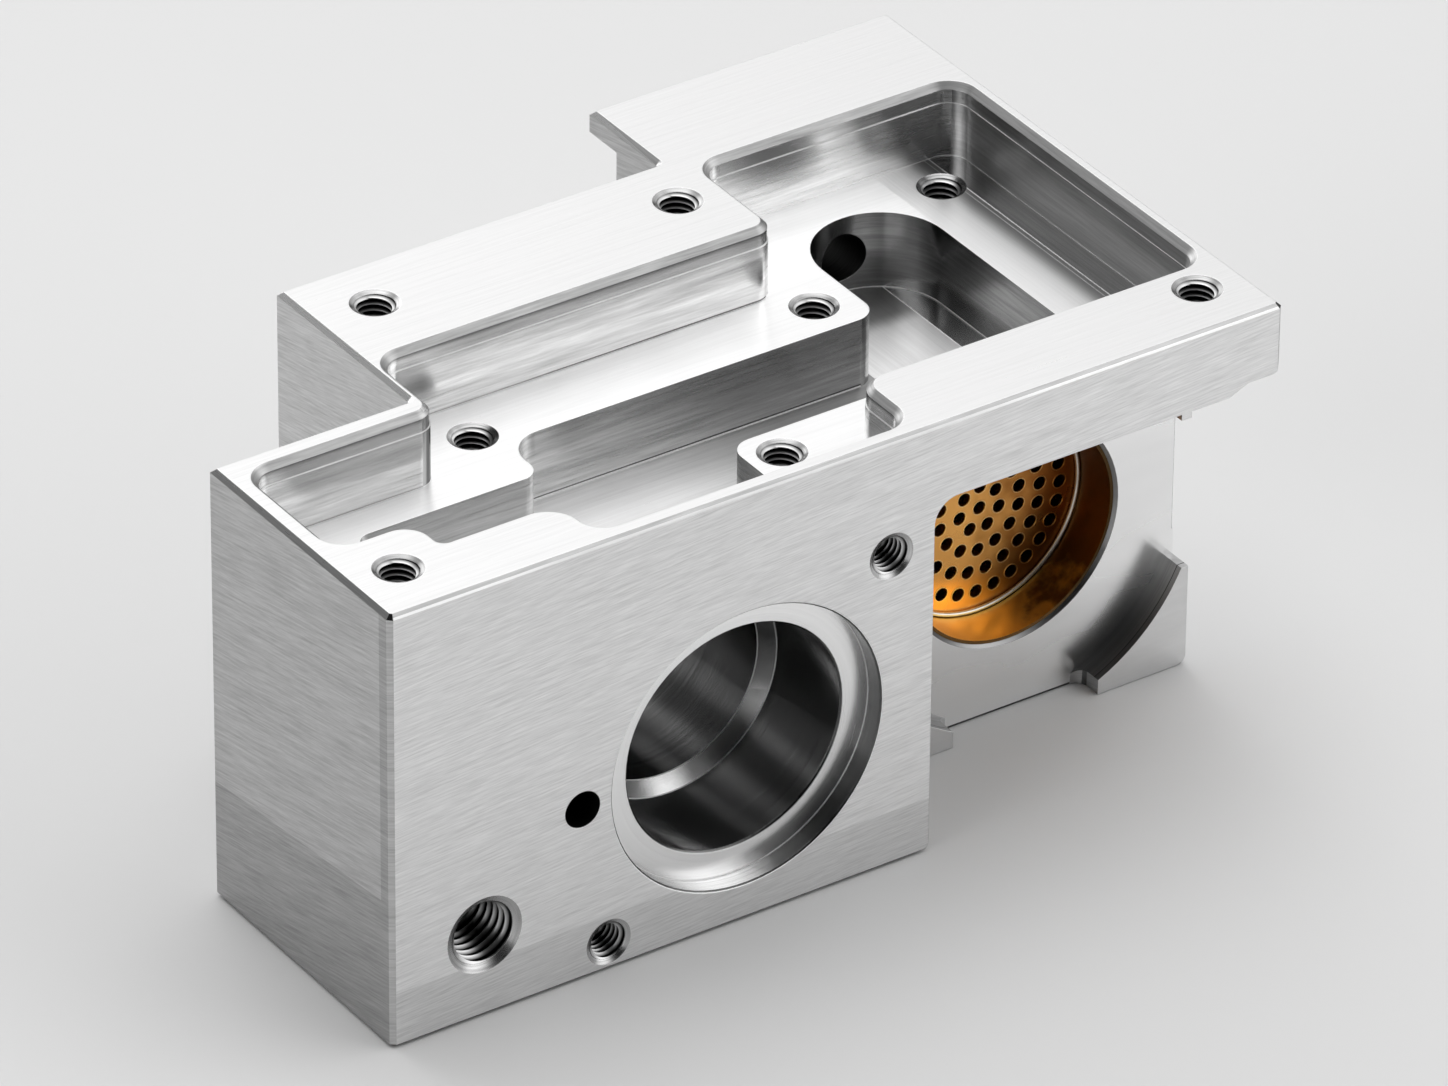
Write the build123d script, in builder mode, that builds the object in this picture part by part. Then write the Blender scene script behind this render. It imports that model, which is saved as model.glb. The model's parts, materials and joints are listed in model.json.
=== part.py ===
from build123d import *
import os

os.makedirs("parts", exist_ok=True)

# Lengths are millimetres. X runs along the front face, Y towards the back, Z up.
# Places are measured from the bottom front left corner of the block. The finished
# pieces are moved at the end, so that the origin is under the middle of the block.

# Block: three steps in plan, deeper towards the right
length = 150.0
height = 71.0
left_depth = 45.8
middle_depth = 80.6
right_depth = 98.6
left_step = 32.8
right_step = 97.6
outer_chamfer = 0.7
bottom_chamfer = 0.5

# Top plate of the right step, which hangs over the rear wall
plate_thickness = 3.6
rear_overhang = 7.1

# Front block, and the flange that hangs over the open space to its right
front_block_width = 90.3
front_block_corner = 1.6
flange_height = 12.7
flange_end_height = 11.3
flange_end_length = 5.7
ogee_length = 3.3
ogee_radius = 2.0
flange_end_corner = 1.7
flange_lip_depth = 8.0
flange_web_height = 16.5
window_corner = 4.0
recess_face = 24.4
side_relief = 0.35
side_relief_base = 20.5
rib_width = 1.7
rib_height = 1.0
rib_inset = 15.6

# Upper pocket, open at the top: its walls, below the chamfer, as insets from the outline
upper_depth = 12.0
left_wall = 3.9
back_wall_left = 4.1
step_wall_left = 2.2
back_wall_middle = 23.3
step_wall_right = 4.8
back_wall_right = 21.8
right_wall = 3.0
rim_wall = 3.65
front_land_left = 12.7
front_land_right = 16.4
corner_boss_length = 16.85
corner_boss_depth = 19.5
left_land_length = 36.2
right_land_inset = 2.8
pocket_corner = 3.5
post_corner = 3.2
boss_corner = 5.0
land_foot_corner = 3.1
land_start_corner = 4.3
sharp_corner = 0.6
pocket_chamfer = 1.0
finish_step = 0.15
finish_depth = 3.1

# Lower pocket: a channel along the front, with a round-ended slot to the back
lower_depth = 11.4
ledge_face = 35.6
ledge_step = 9.7
ledge_length = 48.0
slot_inset = 27.6
slot_width = 20.9
slot_back = 69.95
slot_step = 1.2
inner_boss_length = 16.5
inner_boss_depth = 27.3
ledge_corner = 2.8
channel_corner = 5.5
shelf_corner = 3.4
end_corner = 2.5

# Port in the round end of the slot, drilled through the rear wall
port_radius = 3.9
port_lift = 4.7

# Tapped holes: nominal radius, countersink radius and depth
small_tap_radius = 3.0
small_tap_sink = 3.7
large_tap_radius = 5.0
large_tap_sink = 6.15
large_tap_depth = 18.0
sink_angle = 120.0

# Tapped holes for the cover, in two rows, as insets from the edges beside them
cover_hole_depth = 10.0
cover_front_row = 9.95
cover_back_row = 10.25
corner_hole_x = 7.9
flange_hole_x = 7.9
step_hole_x = 9.9
rear_hole_x = 3.5

# Tapped holes in the floor of the upper pocket, as insets from the walls beside them
shelf_hole_inset = 6.65
shelf_hole_depth = 12.0
ledge_hole_x = 2.7
ledge_hole_y = 3.8
ledge_hole_depth = 10.0
boss_hole_inset = 5.5
boss_hole_depth = 11.0
floor_hole_inset = 7.35
floor_hole_depth = 14.0

# Front face: the stepped main bore and the holes round it
bore_x = 59.1
bore_z = 28.55
counterbore_radius = 22.6
counterbore_depth = 3.3
counterbore_chamfer = 0.3
bore_radius = 18.0
bore_edge_chamfer = 0.3
bore_length = 15.9
bore_cone_length = 2.2
inner_bore_radius = 16.0
inner_bore_length = 38.4
large_hole_x = 15.3
large_hole_z = 13.5
plain_hole_x = 31.5
plain_hole_z = 28.4
plain_hole_radius = 2.9
plain_hole_depth = 26.0
low_hole_x = 35.9
low_hole_z = 4.6
low_hole_depth = 10.0
high_hole_inset = 7.3
high_hole_z = 52.0
high_hole_depth = 12.0

# Rear bore, in a round recess between raised pads
axis_inset = 28.55
axis_z = 29.4
recess_radius = 29.7
pad_height = 4.6
pad_top = 16.7
pad_corner = 1.5
pad_inset = 0.5
notch_left = 13.1
notch_right = 12.5
notch_corner = 2.1
lined_bore_radius = 18.0
lined_bore_chamfer = 0.5
lined_bore_roof = 1.5
chamber_radius = 15.8
chamber_length = 14.0

# Bronze sleeve, perforated disc and the wire ring that keeps the disc in
press_clearance = 0.03
sleeve_wall = 0.5
sleeve_length = 7.26
disc_thickness = 1.5
disc_hole_radius = 1.05
disc_ring_pitch = 3.53
disc_rings = 4
first_ring_holes = 7
disc_turn = -65.5
wire_radius = 0.35
wire_clearance = 0.02

# Levels and places that follow from the sizes above
upper_floor = height - upper_depth
lower_floor = upper_floor - lower_depth
flange_underside = height - flange_height
flange_end_underside = height - flange_end_height
web_underside = height - flange_web_height
plate_underside = height - plate_thickness
rear_wall_face = right_depth - rear_overhang
ogee_end = length - flange_end_length
ogee_start = ogee_end - ogee_length
pad_right = length - pad_inset
axis_x = length - axis_inset
slot_x = length - slot_inset
pocket_right = length - right_wall
left_region_back = left_depth - back_wall_left
middle_region_left = left_step + step_wall_left
middle_region_back = middle_depth - back_wall_middle
right_region_left = right_step + step_wall_right
right_region_back = right_depth - back_wall_right
right_land_start = front_block_width - right_land_inset
land_end_corner = front_land_left - rim_wall - land_foot_corner
channel_back = ledge_face + ledge_step
inner_boss_left = front_block_width - inner_boss_length
slot_radius = slot_width / 2
slot_left = slot_x - slot_radius
slot_right = slot_x + slot_radius
slot_end_start = slot_back - slot_radius
wire_reach = wire_radius + wire_clearance
sleeve_end = recess_face + lined_bore_chamfer + sleeve_length
disc_face = sleeve_end + 2 * wire_reach
disc_back = disc_face + disc_thickness
roof_left = axis_x - lined_bore_radius
roof_top = axis_z + lined_bore_radius + lined_bore_roof
roof_back = disc_back + lined_bore_roof
sleeve_radius = lined_bore_radius - press_clearance
sleeve_inner_radius = sleeve_radius - sleeve_wall


def corner_at(outline, x, y):
    """The corner of a flat outline that lies nearest to x, y."""
    return outline.vertices().sort_by_distance(Vector(x, y, 0))[0]


def front_plane(depth, x=0.0, z=0.0):
    """The plane parallel to the front face, depth behind it: its x is X, its y is Z."""
    return Plane(origin=(x, depth, z), x_dir=(1, 0, 0), z_dir=(0, -1, 0))


def small_tapped_hole(place, depth):
    """A blind hole for a small screw at a place, with a countersunk mouth."""
    with Locations(place):
        CounterSinkHole(small_tap_radius, small_tap_sink, depth, sink_angle)


# Outline of the block: chamfers at the front and back right corners, rounds in the inner ones
block_corners = (
    (0, 0),
    (length, 0),
    (length, right_depth),
    (right_step, right_depth),
    (right_step, middle_depth),
    (left_step, middle_depth),
    (left_step, left_depth),
    (0, left_depth),
)
round_corners = ((right_step, middle_depth), (left_step, left_depth))
chamfered_corners = ((0, 0), (length, 0), (length, right_depth))
with BuildSketch() as block_outline:
    with BuildLine():
        Polyline(*block_corners, close=True)
    make_face()
    for x, y in round_corners:
        fillet(corner_at(block_outline, x, y), outer_chamfer)
    for x, y in chamfered_corners:
        chamfer(corner_at(block_outline, x, y), outer_chamfer)

# Outline of the upper pocket, with the radius of each corner, from the corner boss round
upper_corners = (
    (left_wall, corner_boss_depth, pocket_corner),
    (corner_boss_length, corner_boss_depth, boss_corner),
    (corner_boss_length, front_land_left, sharp_corner),
    (left_land_length, front_land_left, land_end_corner),
    (left_land_length, rim_wall, land_foot_corner),
    (right_land_start, rim_wall, pocket_corner),
    (right_land_start, front_land_right, land_start_corner),
    (pocket_right, front_land_right, pocket_corner),
    (pocket_right, right_region_back, pocket_corner),
    (right_region_left, right_region_back, pocket_corner),
    (right_region_left, middle_region_back, post_corner),
    (middle_region_left, middle_region_back, pocket_corner),
    (middle_region_left, left_region_back, post_corner),
    (left_wall, left_region_back, pocket_corner),
)
with BuildSketch() as upper_outline:
    with BuildLine():
        Polyline(*[(x, y) for x, y, radius in upper_corners], close=True)
    make_face()
    for x, y, radius in upper_corners:
        fillet(corner_at(upper_outline, x, y), radius)

# Outline of the lower pocket: the channel, and the slot whose back end is a half circle
lower_corners = (
    (slot_left, channel_back, shelf_corner),
    (ledge_length, channel_back, channel_corner),
    (ledge_length, ledge_face, ledge_corner),
    (corner_boss_length, ledge_face, end_corner),
    (corner_boss_length, front_land_left, sharp_corner),
    (inner_boss_left, front_land_left, end_corner),
    (inner_boss_left, inner_boss_depth, shelf_corner),
    (slot_right, inner_boss_depth, end_corner),
)
with BuildSketch() as lower_outline:
    with BuildLine():
        Polyline(
            (slot_left, slot_end_start),
            *[(x, y) for x, y, radius in lower_corners],
            (slot_right, slot_end_start),
        )
        ThreePointArc(
            (slot_right, slot_end_start),
            (slot_x, slot_back),
            (slot_left, slot_end_start),
        )
    make_face()
    for x, y, radius in lower_corners:
        fillet(corner_at(lower_outline, x, y), radius)

# Raised pads below the rear bore: a band, less the notch in its middle and the round recess
with BuildPart() as pads:
    with BuildSketch(front_plane(recess_face)) as band:
        with Locations((front_block_width, 0)):
            Rectangle(pad_right - front_block_width, pad_top, align=(Align.MIN, Align.MIN))
        fillet(corner_at(band, pad_right, 0), pad_corner)
    extrude(amount=pad_height)
    with BuildSketch() as notch:
        with Locations((axis_x - notch_left, 0)):
            Rectangle(notch_left + notch_right, recess_face, align=(Align.MIN, Align.MIN))
        fillet(corner_at(notch, axis_x + notch_right, recess_face), notch_corner)
        fillet(corner_at(notch, axis_x - notch_left, recess_face), notch_corner)
    extrude(amount=pad_top, mode=Mode.SUBTRACT)
    with BuildSketch(front_plane(recess_face, axis_x, axis_z)):
        Circle(recess_radius)
    extrude(amount=pad_height, mode=Mode.SUBTRACT)

# Housing: one machined block
with BuildPart() as housing:
    add(block_outline.sketch)
    extrude(amount=height)
    chamfer(housing.faces().sort_by(Axis.Z)[-1].edges(), outer_chamfer)
    chamfer(housing.faces().sort_by(Axis.Z)[0].edges(), bottom_chamfer)

    # The rear wall stands back under the top plate
    with BuildSketch():
        with Locations((left_step, rear_wall_face)):
            Rectangle(length - left_step, rear_overhang, align=(Align.MIN, Align.MIN))
    extrude(amount=plate_underside, mode=Mode.SUBTRACT)

    # Open space under the flange: first below the lip, then below the thicker web behind it
    with BuildSketch(front_plane(0)) as below_lip:
        with BuildLine():
            Polyline(
                (front_block_width, 0),
                (length, 0),
                (length, flange_end_underside),
                (ogee_end, flange_end_underside),
                (ogee_start, flange_underside),
                (front_block_width, flange_underside),
                close=True,
            )
        make_face()
        fillet(corner_at(below_lip, ogee_end, flange_end_underside), ogee_radius)
        fillet(corner_at(below_lip, ogee_start, flange_underside), ogee_radius)
        fillet(corner_at(below_lip, front_block_width, flange_underside), window_corner)
    extrude(amount=-flange_lip_depth, mode=Mode.SUBTRACT)
    with BuildSketch(front_plane(flange_lip_depth)):
        with Locations((front_block_width, 0)):
            Rectangle(length - front_block_width, web_underside, align=(Align.MIN, Align.MIN))
    extrude(amount=flange_lip_depth - recess_face, mode=Mode.SUBTRACT)

    # Rounded corners of the front block's foot and of the flange's free end
    foot = housing.edges().filter_by(Axis.Y)
    fillet(foot.sort_by_distance((front_block_width, 0, 0))[0], front_block_corner)
    tip = housing.edges().filter_by(Axis.Y)
    fillet(tip.sort_by_distance((length, 0, flange_end_underside))[0], flange_end_corner)

    # Narrow relief down the free edge of the recess face
    with BuildSketch(Plane.XY.offset(side_relief_base)):
        with BuildLine():
            Polyline(
                (length, recess_face),
                (length, recess_face + side_relief),
                (length - side_relief, recess_face),
                close=True,
            )
        make_face()
    extrude(amount=web_underside - side_relief_base, mode=Mode.SUBTRACT)

    add(pads.part)
    with Locations((length - rib_inset - rib_width, 0, flange_underside - rib_height)):
        Box(
            rib_width,
            flange_lip_depth,
            flange_height,
            align=(Align.MIN, Align.MIN, Align.MIN),
        )

    # Upper pocket: a finished band at the top of its wall, a fine step, then the wall
    with BuildSketch(Plane.XY.offset(height)):
        add(upper_outline.sketch)
        offset(amount=finish_step, kind=Kind.INTERSECTION)
    extrude(amount=-finish_depth, mode=Mode.SUBTRACT)
    with BuildSketch(Plane.XY.offset(height)):
        add(upper_outline.sketch)
    extrude(amount=-upper_depth, mode=Mode.SUBTRACT)
    top_face = housing.faces().sort_by(Axis.Z)[-1]
    chamfer(top_face.inner_wires()[0].edges(), pocket_chamfer)

    # Lower pocket: as deep as the roof over the rear bore in front, and to its floor behind
    with BuildSketch(Plane.XY.offset(roof_top)):
        add(lower_outline.sketch)
    extrude(amount=upper_floor - roof_top, mode=Mode.SUBTRACT)
    with BuildSketch(Plane.XY.offset(lower_floor)):
        add(lower_outline.sketch)
        with Locations((roof_left, 0)):
            Rectangle(
                length - roof_left,
                roof_back,
                align=(Align.MIN, Align.MIN),
                mode=Mode.SUBTRACT,
            )
    extrude(amount=lower_depth, mode=Mode.SUBTRACT)

    # The slot's floor lies a little below the channel's
    with BuildSketch(Plane.XY.offset(lower_floor)):
        add(lower_outline.sketch)
        with Locations((slot_x, channel_back)):
            Rectangle(
                slot_width,
                slot_back - channel_back,
                align=(Align.CENTER, Align.MIN),
                mode=Mode.INTERSECT,
            )
    extrude(amount=-slot_step, mode=Mode.SUBTRACT)

    # Port through the rear wall, from the round end of the slot
    with BuildSketch(front_plane(slot_end_start, slot_x, lower_floor + port_lift)):
        Circle(port_radius)
    extrude(amount=slot_end_start - right_depth, mode=Mode.SUBTRACT)

    # Tapped holes in the top face, in two rows
    for x, y in (
        (corner_hole_x, cover_front_row),
        (length - flange_hole_x, cover_front_row),
        (left_step + step_hole_x, middle_depth - cover_back_row),
        (right_step - rear_hole_x, middle_depth - cover_back_row),
    ):
        small_tapped_hole((x, y, height), cover_hole_depth)

    # Tapped holes in the floor of the upper pocket
    for x, y, depth in (
        (slot_left - shelf_hole_inset, channel_back + shelf_hole_inset, shelf_hole_depth),
        (ledge_length - ledge_hole_x, channel_back + ledge_hole_y, ledge_hole_depth),
        (inner_boss_left + boss_hole_inset, inner_boss_depth - boss_hole_inset, boss_hole_depth),
        (pocket_right - floor_hole_inset, right_region_back - floor_hole_inset, floor_hole_depth),
    ):
        small_tapped_hole((x, y, upper_floor), depth)

    # Main bore: counterbore, bore, cone and inner bore
    with Locations(front_plane(0, bore_x, bore_z)):
        CounterBoreHole(
            bore_radius,
            counterbore_radius,
            counterbore_depth,
            counterbore_depth + bore_length,
        )
    for mouth_radius, mouth_depth, mouth_chamfer in (
        (bore_radius, counterbore_depth, bore_edge_chamfer),
        (counterbore_radius, 0, counterbore_chamfer),
    ):
        mouth_centre = Vector(bore_x, mouth_depth, bore_z)
        mouth = housing.edges().filter_by(GeomType.CIRCLE)
        mouth = mouth.filter_by(lambda edge: abs(edge.radius - mouth_radius) < mouth_chamfer)
        mouth = mouth.sort_by(lambda edge: (edge.arc_center - mouth_centre).length)[0]
        chamfer(mouth, mouth_chamfer)
    cone_start = counterbore_depth + bore_length
    with BuildSketch(front_plane(cone_start, bore_x, bore_z)):
        Circle(bore_radius)
    with BuildSketch(front_plane(cone_start + bore_cone_length, bore_x, bore_z)):
        Circle(inner_bore_radius)
    loft(mode=Mode.SUBTRACT)
    with BuildSketch(front_plane(cone_start + bore_cone_length, bore_x, bore_z)):
        Circle(inner_bore_radius)
    extrude(amount=-inner_bore_length, mode=Mode.SUBTRACT)

    # Other holes in the front face
    small_tapped_hole(front_plane(0, low_hole_x, low_hole_z), low_hole_depth)
    high_hole_x = front_block_width - high_hole_inset
    small_tapped_hole(front_plane(0, high_hole_x, high_hole_z), high_hole_depth)
    with Locations(front_plane(0, large_hole_x, large_hole_z)):
        CounterSinkHole(large_tap_radius, large_tap_sink, large_tap_depth, sink_angle)
    with Locations(front_plane(0, plain_hole_x, plain_hole_z)):
        Hole(plain_hole_radius, plain_hole_depth)

    # Rear bore with a chamfered mouth, and the chamber behind the disc's shoulder
    with BuildSketch(front_plane(recess_face, axis_x, axis_z)):
        Circle(lined_bore_radius + lined_bore_chamfer)
    with BuildSketch(front_plane(recess_face + lined_bore_chamfer, axis_x, axis_z)):
        Circle(lined_bore_radius)
    loft(mode=Mode.SUBTRACT)
    with BuildSketch(front_plane(recess_face + lined_bore_chamfer, axis_x, axis_z)):
        Circle(lined_bore_radius)
    extrude(amount=recess_face + lined_bore_chamfer - disc_back, mode=Mode.SUBTRACT)
    with BuildSketch(front_plane(disc_back, axis_x, axis_z)):
        Circle(chamber_radius)
    extrude(amount=-chamber_length, mode=Mode.SUBTRACT)

# Bronze sleeve pressed into the rear bore
with BuildPart() as bronze_sleeve:
    with BuildSketch(front_plane(sleeve_end, axis_x, axis_z)):
        Circle(sleeve_radius)
        Circle(sleeve_inner_radius, mode=Mode.SUBTRACT)
    extrude(amount=sleeve_length)

# Perforated disc on its shoulder: one hole in the middle and rings of 7, 14, 21 and 28
with BuildPart() as perforated_disc:
    with BuildSketch(front_plane(disc_back, axis_x, axis_z)):
        Circle(sleeve_radius)
        Circle(disc_hole_radius, mode=Mode.SUBTRACT)
        for ring in range(1, disc_rings + 1):
            with PolarLocations(ring * disc_ring_pitch, ring * first_ring_holes, disc_turn):
                Circle(disc_hole_radius, mode=Mode.SUBTRACT)
    extrude(amount=disc_thickness)

# Wire ring between the end of the sleeve and the disc
with BuildPart() as wire_ring:
    with Locations(front_plane(disc_face - wire_reach, axis_x, axis_z)):
        Torus(sleeve_inner_radius - wire_reach, wire_radius)

# The origin goes to the middle of the footprint
for piece in (housing, bronze_sleeve, perforated_disc, wire_ring):
    piece.part.move(Location((-length / 2, -right_depth / 2, 0)))

housing.part.label = "housing"
bronze_sleeve.part.label = "bronze_sleeve"
perforated_disc.part.label = "perforated_disc"
wire_ring.part.label = "wire_ring"
export_step(housing.part, "parts/housing.step")
export_step(bronze_sleeve.part, "parts/bronze_sleeve.step")
export_step(perforated_disc.part, "parts/perforated_disc.step")
export_step(wire_ring.part, "parts/wire_ring.step")
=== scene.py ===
# %% [markdown]
# # A machined aluminium housing
# The part is a block of aluminium that was milled, turned out, drilled and tapped. Its shape
# comes ready made from the solid model, in metres. This lesson gives it the finish that each
# tool left behind, with painted light and shade in many of its colours, cuts the turns of its
# threads, and lights it in a plain studio.
#
# First the solid model is loaded as a fixed frame. Each of its solids arrives as a mesh whose
# place is in its vertices, so whatever is added is worked out in the same metres.

# %% Load the solid model
import json
import bmesh
import bpy
import numpy as np
from mathutils import Matrix, Vector


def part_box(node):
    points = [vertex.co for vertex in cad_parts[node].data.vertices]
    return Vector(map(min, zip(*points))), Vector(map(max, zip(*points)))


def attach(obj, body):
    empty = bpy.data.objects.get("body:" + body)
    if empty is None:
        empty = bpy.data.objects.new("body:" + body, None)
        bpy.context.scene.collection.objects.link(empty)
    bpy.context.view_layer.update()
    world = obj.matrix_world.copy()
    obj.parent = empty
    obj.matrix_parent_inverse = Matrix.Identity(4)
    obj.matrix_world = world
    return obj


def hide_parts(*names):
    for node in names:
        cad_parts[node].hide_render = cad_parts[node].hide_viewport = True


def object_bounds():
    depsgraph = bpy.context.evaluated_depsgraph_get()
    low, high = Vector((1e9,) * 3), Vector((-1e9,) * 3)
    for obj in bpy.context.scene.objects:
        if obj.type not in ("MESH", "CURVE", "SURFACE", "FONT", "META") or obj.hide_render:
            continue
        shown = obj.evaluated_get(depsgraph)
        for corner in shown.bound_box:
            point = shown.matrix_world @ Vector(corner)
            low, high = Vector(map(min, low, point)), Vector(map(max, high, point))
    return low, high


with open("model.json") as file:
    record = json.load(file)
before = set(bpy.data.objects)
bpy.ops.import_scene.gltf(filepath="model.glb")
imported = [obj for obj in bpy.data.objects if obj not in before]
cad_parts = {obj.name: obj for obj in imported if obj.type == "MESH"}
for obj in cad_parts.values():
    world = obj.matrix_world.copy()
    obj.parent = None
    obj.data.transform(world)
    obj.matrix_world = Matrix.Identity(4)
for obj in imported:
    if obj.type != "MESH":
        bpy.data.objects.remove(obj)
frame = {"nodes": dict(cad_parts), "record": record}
MM = 0.001
solid_box = [list(corner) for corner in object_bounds()]
low = np.array(solid_box[0])
height = (solid_box[1][2] - solid_box[0][2]) / MM
print("box of the solids in mm:", [[round(v / MM, 1) for v in corner] for corner in solid_box])

# %% [markdown]
# ## Helpers
# A colour is written as the sRGB hex value that a colour picker would give, and turned into
# the linear light that a renderer adds up. One function adds a node to a material with its
# settings and its links, which keeps a long node tree short to read.

# %% Colours and nodes
# The kinds of node that are used most. A Mix node has its two colours in sockets 6 and 7, and
# its two numbers in sockets 2 and 3.
MATH, VECTOR_MATH, MIX = "ShaderNodeMath", "ShaderNodeVectorMath", "ShaderNodeMix"
OF_COLOURS, OF_NUMBERS = {"data_type": "RGBA"}, {"data_type": "FLOAT"}
SMOOTH_STEP = {"interpolation_type": "SMOOTHSTEP"}


def linear(code):
    """An sRGB hex colour as linear light: v / 12.92 below 0.04045, else ((v + 0.055) / 1.055) ^ 2.4."""
    parts = [int(code[i : i + 2], 16) / 255 for i in (0, 2, 4)]
    return (*(v / 12.92 if v <= 0.04045 else ((v + 0.055) / 1.055) ** 2.4 for v in parts), 1.0)


def node(tree, kind, settings=None, **inputs):
    """Adds a node. settings are its own properties, and each input is a value or a socket to link.

    An input is named by its socket's name, with _ for a space, or by i and its number.
    """
    new = tree.nodes.new(kind)
    for name, value in (settings or {}).items():
        setattr(new, name, value)
    for name, value in inputs.items():
        numbered = name[0] == "i" and name[1:].isdigit()
        socket = new.inputs[int(name[1:]) if numbered else name.replace("_", " ")]
        if isinstance(value, bpy.types.NodeSocket):
            tree.links.new(value, socket)
        else:
            socket.default_value = value
    return new


print("mid grey 808080 in linear light:", round(linear("808080")[0], 3))

# %% [markdown]
# ## Camera
# The photo looks down at the front left corner from far away through a long lens, so that the
# block's edges hardly converge. The lens and the place were solved from the edges of the
# block: a direction to look from, a distance, and the point that the view centres on.

# %% Camera
AZIMUTH, ELEVATION, ROLL = np.radians((-34.2492, 32.3878, 0.5417))
DISTANCE = 1724.316 * MM
TARGET = Vector((5.4857, -11.4877, 35.0)) * MM
SENSOR = 36
IMAGE_WIDTH = 1448
FOCAL_PIXELS = 12124.1
FARTHEST = 20

sideways = np.cos(ELEVATION)
back = Vector((np.sin(AZIMUTH) * sideways, -np.cos(AZIMUTH) * sideways, np.sin(ELEVATION)))
level_right = Vector((np.cos(AZIMUTH), np.sin(AZIMUTH), 0))
level_up = back.cross(level_right)
right = np.cos(ROLL) * level_right + np.sin(ROLL) * level_up
up = np.cos(ROLL) * level_up - np.sin(ROLL) * level_right
aim = Matrix((right, up, back)).transposed().to_4x4()

camera = bpy.data.objects.new("camera", bpy.data.cameras.new("camera"))
camera.data.sensor_width = SENSOR
camera.data.lens = SENSOR * FOCAL_PIXELS / IMAGE_WIDTH
camera.data.clip_end = FARTHEST
camera.matrix_world = Matrix.Translation(TARGET + back * DISTANCE) @ aim
bpy.context.scene.collection.objects.link(camera)
bpy.context.scene.camera = camera
bpy.context.scene.view_settings.view_transform = "Standard"
print("lens in mm:", round(camera.data.lens, 1))

# %% [markdown]
# ## Studio
# The block stands on a wide sheet of pale paper. A flat square of four faces is enough for
# it: it reaches past the view on every side, and lies a tenth of a millimetre under the part.

# %% Paper under the part
REACH = 6
GAP = 0.1 * MM
grid = np.linspace(-REACH, REACH, 3)
corners = [(x, y, -GAP) for y in grid for x in grid]
squares = [(i, i + 1, i + 4, i + 3) for i in (0, 1, 3, 4)]
sheet_mesh = bpy.data.meshes.new("sheet")
sheet_mesh.from_pydata(corners, [], squares)
sheet = bpy.data.objects.new("sheet", sheet_mesh)
bpy.context.scene.collection.objects.link(sheet)

# Matt paper: pale and without gloss, so that it gives the metal an even light from below.
paper = bpy.data.materials.new("studio_paper")
paper.use_nodes = True
surface = paper.node_tree.nodes["Principled BSDF"]
surface.inputs["Base Color"].default_value = linear("D8D8D8")
surface.inputs["Roughness"].default_value = 0.8
sheet_mesh.materials.append(paper)
print("faces of the paper:", len(sheet_mesh.polygons))

# %% [markdown]
# ## Light
# Bare metal shows what it faces, so the room matters more than the lamps. A studio hangs
# white panels round such a part and leaves dark gaps between them. The panels make the top
# pale, and the gaps make the pocket's walls dark. Here the world is that room. Each panel is
# a soft round patch of directions, strongest at its middle and fading to nothing at its edge.
# One weak lamp overhead softens the shadow under the flange.

# %% Panels of the room
# Azimuth from the right and elevation, in degrees, then the angle of the edge and the strength.
PANELS = (
    (90, 8, 42, 2.25),
    (180, 8, 42, 2.4),
    (315, 8, 42, 0.8),
    (10, 32, 38, 0.95),
    (325, 32, 38, 1.3),
    (60, 58, 38, 1.25),
    (120, 58, 38, 0.4),
    (0, 90, 38, 1.35),
)
# Within 4 degrees of its middle a panel has its full strength.
CORE = np.cos(np.radians(4))

world = bpy.data.worlds.new("studio")
bpy.context.scene.world = world
world.use_nodes = True
tree = world.node_tree
direction = node(tree, "ShaderNodeTexCoord").outputs["Generated"]
total = 0.0
for azimuth, elevation, edge, strength in PANELS:
    a, e = np.radians((azimuth, elevation))
    middle = (np.cos(a) * np.cos(e), np.sin(a) * np.cos(e), np.sin(e))
    towards = node(tree, VECTOR_MATH, {"operation": "DOT_PRODUCT"}, i0=direction, i1=middle)
    patch = node(tree, "ShaderNodeMapRange", SMOOTH_STEP, Value=towards.outputs["Value"],
                 From_Min=np.cos(np.radians(edge)), From_Max=CORE, To_Max=strength).outputs["Result"]
    total = node(tree, MATH, {"operation": "ADD"}, i0=total, i1=patch).outputs[0]
tree.links.new(total, tree.nodes["Background"].inputs["Color"])
print("panels:", len(PANELS))

# %% Lamp overhead
lamp = bpy.data.lights.new("overhead", "AREA")
lamp.shape = "SQUARE"
lamp.size = 1.2
lamp.energy = 1.7
holder = bpy.data.objects.new("overhead", lamp)
holder.location = (0.1, 0.3, 1.2)
holder.rotation_euler = (-holder.location).to_track_quat("-Z", "Y").to_euler()
bpy.context.scene.collection.objects.link(holder)
print("lamp in watts:", round(lamp.energy, 1))

# %% [markdown]
# ## Copies of the solids
# The solid model arrives as loose triangles. A copy of each mesh is merged, so that round
# bores shade smoothly while corners stay sharp, and the copy stands for the solid. A few
# planes are cut into the housing's copy without changing its shape. They give the borders
# at which its finish changes, such as the side of one cutter's pass along a wall, or the
# edge of a band of painted shade on the front and on the left side.

# %% Merge the copies
SHARP = np.radians(25)
# Corners nearer than this are one corner, and a cut takes those within ON_PLANE of it as its own.
WELD = 0.002 * MM
ON_PLANE = 1e-7
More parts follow.
